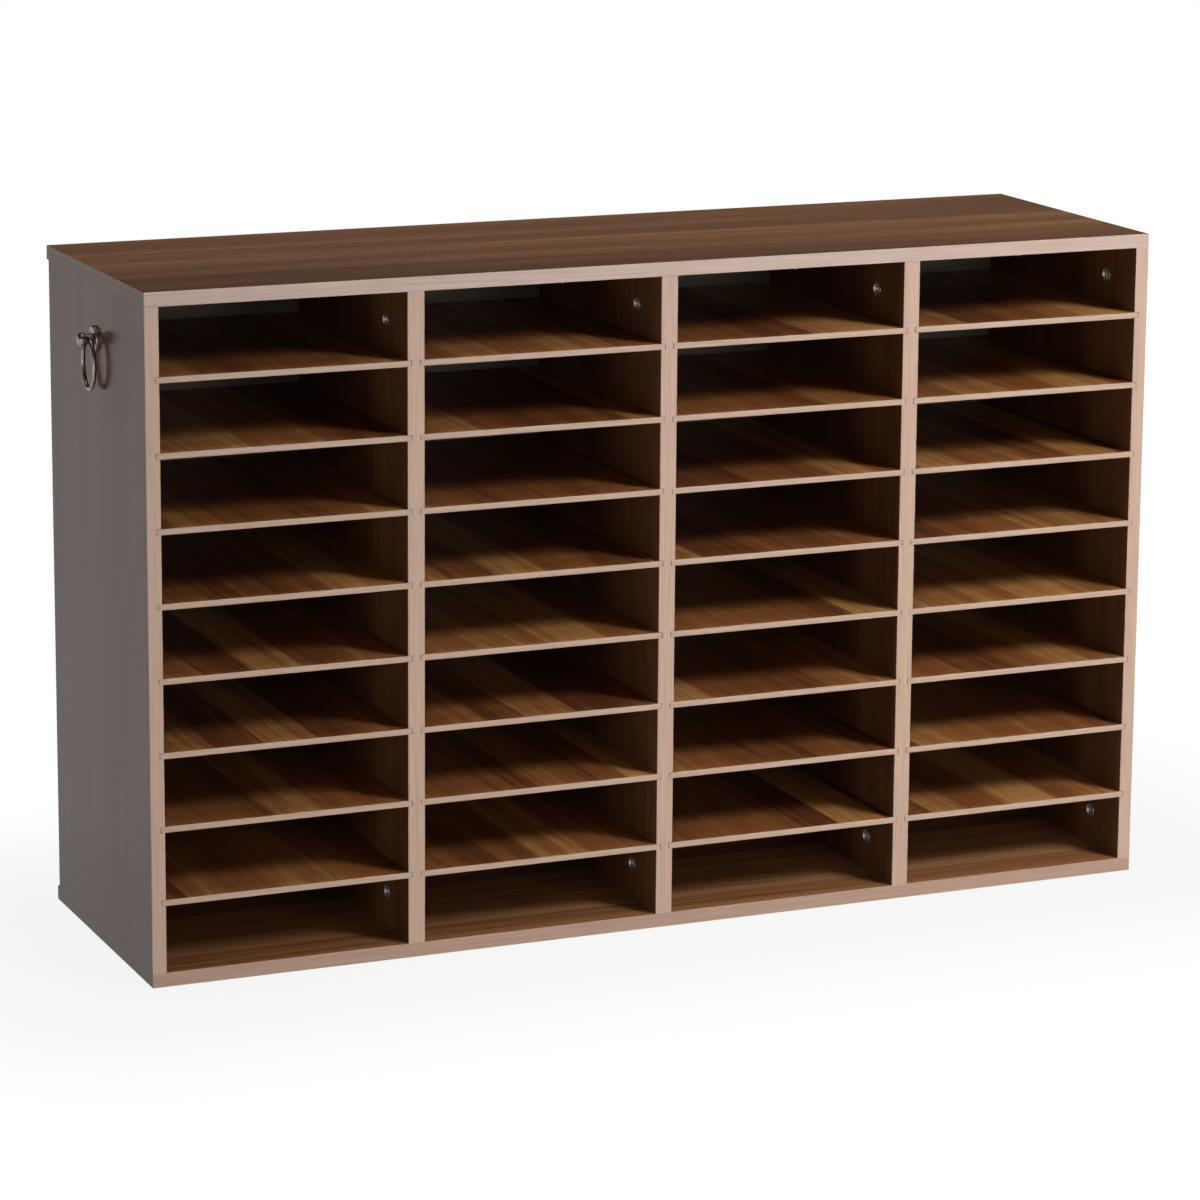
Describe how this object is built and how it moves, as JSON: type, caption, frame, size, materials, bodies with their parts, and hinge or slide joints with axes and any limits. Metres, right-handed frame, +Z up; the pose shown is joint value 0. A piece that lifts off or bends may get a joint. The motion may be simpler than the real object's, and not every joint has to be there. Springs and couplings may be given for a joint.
{
  "type": "literature organizer",
  "caption": "Wide open case of stacked flat compartments for loose sheets, with thin shelves that slide out of grooved uprights and a ring pull on each side.",
  "frame": {"origin": "on the floor under the middle of the case, ring pulls included", "axes": "+X along the front to the right, +Y from the front to the back, +Z up"},
  "size_m": [1.034, 0.298, 0.63],
  "materials": {
    "walnut_laminate": "satin laminate with walnut grain on particle board",
    "walnut_shelf": "satin walnut grain on hardboard, with a pale front edge",
    "edging": "pale tan edging strip with faint grain",
    "dark_hardboard": "dark brown hardboard",
    "zinc_plate": "zinc plated",
    "beech": "plain beech",
    "old_nickel": "aged nickel, brighter where it is rubbed"
  },
  "bodies": {
    "carcass": {"top_panel": "walnut_laminate", "bottom_panel": "walnut_laminate", "left_side": "walnut_laminate", "right_side": "walnut_laminate", "divider_1": "walnut_laminate", "divider_2": "walnut_laminate", "divider_3": "walnut_laminate", "back_board": "dark_hardboard", "top_edging": "edging", "bottom_edging": "edging", "left_side_edging": "edging", "right_side_edging": "edging", "divider_1_edging": "edging", "divider_2_edging": "edging", "divider_3_edging": "edging", "cam_locks": "zinc_plate", "cam_bolts": "zinc_plate", "dowels": "beech", "back_screws": "zinc_plate", "left_pull_rosette": "old_nickel", "left_pull_post": "old_nickel", "right_pull_rosette": "old_nickel", "right_pull_post": "old_nickel"},
    "left_ring": {"left_pull_ring": "old_nickel"},
    "right_ring": {"right_pull_ring": "old_nickel"},
    "shelf_column1_level1": {"shelf_column1_level1": "walnut_shelf"},
    "shelf_column1_level2": {"shelf_column1_level2": "walnut_shelf"},
    "shelf_column1_level3": {"shelf_column1_level3": "walnut_shelf"},
    "shelf_column1_level4": {"shelf_column1_level4": "walnut_shelf"},
    "shelf_column1_level5": {"shelf_column1_level5": "walnut_shelf"},
    "shelf_column1_level6": {"shelf_column1_level6": "walnut_shelf"},
    "shelf_column1_level7": {"shelf_column1_level7": "walnut_shelf"},
    "shelf_column1_level8": {"shelf_column1_level8": "walnut_shelf"},
    "shelf_column2_level1": {"shelf_column2_level1": "walnut_shelf"},
    "shelf_column2_level2": {"shelf_column2_level2": "walnut_shelf"},
    "shelf_column2_level3": {"shelf_column2_level3": "walnut_shelf"},
    "shelf_column2_level4": {"shelf_column2_level4": "walnut_shelf"},
    "shelf_column2_level5": {"shelf_column2_level5": "walnut_shelf"},
    "shelf_column2_level6": {"shelf_column2_level6": "walnut_shelf"},
    "shelf_column2_level7": {"shelf_column2_level7": "walnut_shelf"},
    "shelf_column2_level8": {"shelf_column2_level8": "walnut_shelf"},
    "shelf_column3_level1": {"shelf_column3_level1": "walnut_shelf"},
    "shelf_column3_level2": {"shelf_column3_level2": "walnut_shelf"},
    "shelf_column3_level3": {"shelf_column3_level3": "walnut_shelf"},
    "shelf_column3_level4": {"shelf_column3_level4": "walnut_shelf"},
    "shelf_column3_level5": {"shelf_column3_level5": "walnut_shelf"},
    "shelf_column3_level6": {"shelf_column3_level6": "walnut_shelf"},
    "shelf_column3_level7": {"shelf_column3_level7": "walnut_shelf"},
    "shelf_column3_level8": {"shelf_column3_level8": "walnut_shelf"},
    "shelf_column4_level1": {"shelf_column4_level1": "walnut_shelf"},
    "shelf_column4_level2": {"shelf_column4_level2": "walnut_shelf"},
    "shelf_column4_level3": {"shelf_column4_level3": "walnut_shelf"},
    "shelf_column4_level4": {"shelf_column4_level4": "walnut_shelf"},
    "shelf_column4_level5": {"shelf_column4_level5": "walnut_shelf"},
    "shelf_column4_level6": {"shelf_column4_level6": "walnut_shelf"},
    "shelf_column4_level7": {"shelf_column4_level7": "walnut_shelf"},
    "shelf_column4_level8": {"shelf_column4_level8": "walnut_shelf"}
  },
  "joints": [
    {"name": "handle_left_swing", "type": "hinge", "parent": "carcass", "child": "left_ring", "pos_m": [-0.5068, -0.003, 0.5665], "axis": [0, 1, 0], "range_deg": [-5.5, 185]},
    {"name": "handle_right_swing", "type": "hinge", "parent": "carcass", "child": "right_ring", "pos_m": [0.5068, -0.003, 0.5665], "axis": [0, -1, 0], "range_deg": [-5.5, 185]},
    {"name": "shelf_column1_level1_slide", "type": "slide", "parent": "carcass", "child": "shelf_column1_level1", "axis": [0, -1, 0], "range_m": [0, 0.3]},
    {"name": "shelf_column1_level2_slide", "type": "slide", "parent": "carcass", "child": "shelf_column1_level2", "axis": [0, -1, 0], "range_m": [0, 0.3]},
    {"name": "shelf_column1_level3_slide", "type": "slide", "parent": "carcass", "child": "shelf_column1_level3", "axis": [0, -1, 0], "range_m": [0, 0.3]},
    {"name": "shelf_column1_level4_slide", "type": "slide", "parent": "carcass", "child": "shelf_column1_level4", "axis": [0, -1, 0], "range_m": [0, 0.3]},
    {"name": "shelf_column1_level5_slide", "type": "slide", "parent": "carcass", "child": "shelf_column1_level5", "axis": [0, -1, 0], "range_m": [0, 0.3]},
    {"name": "shelf_column1_level6_slide", "type": "slide", "parent": "carcass", "child": "shelf_column1_level6", "axis": [0, -1, 0], "range_m": [0, 0.3]},
    {"name": "shelf_column1_level7_slide", "type": "slide", "parent": "carcass", "child": "shelf_column1_level7", "axis": [0, -1, 0], "range_m": [0, 0.3]},
    {"name": "shelf_column1_level8_slide", "type": "slide", "parent": "carcass", "child": "shelf_column1_level8", "axis": [0, -1, 0], "range_m": [0, 0.3]},
    {"name": "shelf_column2_level1_slide", "type": "slide", "parent": "carcass", "child": "shelf_column2_level1", "axis": [0, -1, 0], "range_m": [0, 0.3]},
    {"name": "shelf_column2_level2_slide", "type": "slide", "parent": "carcass", "child": "shelf_column2_level2", "axis": [0, -1, 0], "range_m": [0, 0.3]},
    {"name": "shelf_column2_level3_slide", "type": "slide", "parent": "carcass", "child": "shelf_column2_level3", "axis": [0, -1, 0], "range_m": [0, 0.3]},
    {"name": "shelf_column2_level4_slide", "type": "slide", "parent": "carcass", "child": "shelf_column2_level4", "axis": [0, -1, 0], "range_m": [0, 0.3]},
    {"name": "shelf_column2_level5_slide", "type": "slide", "parent": "carcass", "child": "shelf_column2_level5", "axis": [0, -1, 0], "range_m": [0, 0.3]},
    {"name": "shelf_column2_level6_slide", "type": "slide", "parent": "carcass", "child": "shelf_column2_level6", "axis": [0, -1, 0], "range_m": [0, 0.3]},
    {"name": "shelf_column2_level7_slide", "type": "slide", "parent": "carcass", "child": "shelf_column2_level7", "axis": [0, -1, 0], "range_m": [0, 0.3]},
    {"name": "shelf_column2_level8_slide", "type": "slide", "parent": "carcass", "child": "shelf_column2_level8", "axis": [0, -1, 0], "range_m": [0, 0.3]},
    {"name": "shelf_column3_level1_slide", "type": "slide", "parent": "carcass", "child": "shelf_column3_level1", "axis": [0, -1, 0], "range_m": [0, 0.3]},
    {"name": "shelf_column3_level2_slide", "type": "slide", "parent": "carcass", "child": "shelf_column3_level2", "axis": [0, -1, 0], "range_m": [0, 0.3]},
    {"name": "shelf_column3_level3_slide", "type": "slide", "parent": "carcass", "child": "shelf_column3_level3", "axis": [0, -1, 0], "range_m": [0, 0.3]},
    {"name": "shelf_column3_level4_slide", "type": "slide", "parent": "carcass", "child": "shelf_column3_level4", "axis": [0, -1, 0], "range_m": [0, 0.3]},
    {"name": "shelf_column3_level5_slide", "type": "slide", "parent": "carcass", "child": "shelf_column3_level5", "axis": [0, -1, 0], "range_m": [0, 0.3]},
    {"name": "shelf_column3_level6_slide", "type": "slide", "parent": "carcass", "child": "shelf_column3_level6", "axis": [0, -1, 0], "range_m": [0, 0.3]},
    {"name": "shelf_column3_level7_slide", "type": "slide", "parent": "carcass", "child": "shelf_column3_level7", "axis": [0, -1, 0], "range_m": [0, 0.3]},
    {"name": "shelf_column3_level8_slide", "type": "slide", "parent": "carcass", "child": "shelf_column3_level8", "axis": [0, -1, 0], "range_m": [0, 0.3]},
    {"name": "shelf_column4_level1_slide", "type": "slide", "parent": "carcass", "child": "shelf_column4_level1", "axis": [0, -1, 0], "range_m": [0, 0.3]},
    {"name": "shelf_column4_level2_slide", "type": "slide", "parent": "carcass", "child": "shelf_column4_level2", "axis": [0, -1, 0], "range_m": [0, 0.3]},
    {"name": "shelf_column4_level3_slide", "type": "slide", "parent": "carcass", "child": "shelf_column4_level3", "axis": [0, -1, 0], "range_m": [0, 0.3]},
    {"name": "shelf_column4_level4_slide", "type": "slide", "parent": "carcass", "child": "shelf_column4_level4", "axis": [0, -1, 0], "range_m": [0, 0.3]},
    {"name": "shelf_column4_level5_slide", "type": "slide", "parent": "carcass", "child": "shelf_column4_level5", "axis": [0, -1, 0], "range_m": [0, 0.3]},
    {"name": "shelf_column4_level6_slide", "type": "slide", "parent": "carcass", "child": "shelf_column4_level6", "axis": [0, -1, 0], "range_m": [0, 0.3]},
    {"name": "shelf_column4_level7_slide", "type": "slide", "parent": "carcass", "child": "shelf_column4_level7", "axis": [0, -1, 0], "range_m": [0, 0.3]},
    {"name": "shelf_column4_level8_slide", "type": "slide", "parent": "carcass", "child": "shelf_column4_level8", "axis": [0, -1, 0], "range_m": [0, 0.3]}
  ]
}
